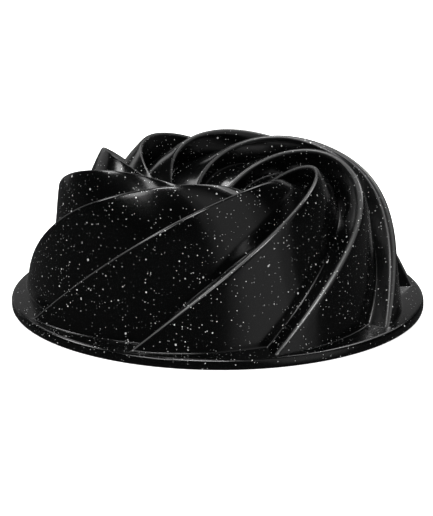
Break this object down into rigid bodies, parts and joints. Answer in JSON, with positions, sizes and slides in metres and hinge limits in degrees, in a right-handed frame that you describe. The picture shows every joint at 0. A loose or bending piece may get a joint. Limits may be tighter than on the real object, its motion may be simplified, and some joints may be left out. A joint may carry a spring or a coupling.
{
  "type": "fluted ring cake pan",
  "caption": "Round ring-cake pan with deep swirling flutes, a central chimney tube and a flat flanged rim with a wired edge, in glossy black speckled coating.",
  "frame": {"origin": "centre of the rim's resting plane, on the pan's axis", "axes": "+Z along the pan's axis, from the rim up to the crown; X and Y are in the resting plane"},
  "size_m": [0.2597, 0.2598, 0.0936],
  "materials": {
    "speckled_coating": "high gloss black with fine white speckles",
    "wire": "plain galvanised"
  },
  "bodies": {
    "root": {"swirl_shell": "speckled_coating", "center_tube": "speckled_coating", "rim_wire": "wire"}
  },
  "joints": []
}
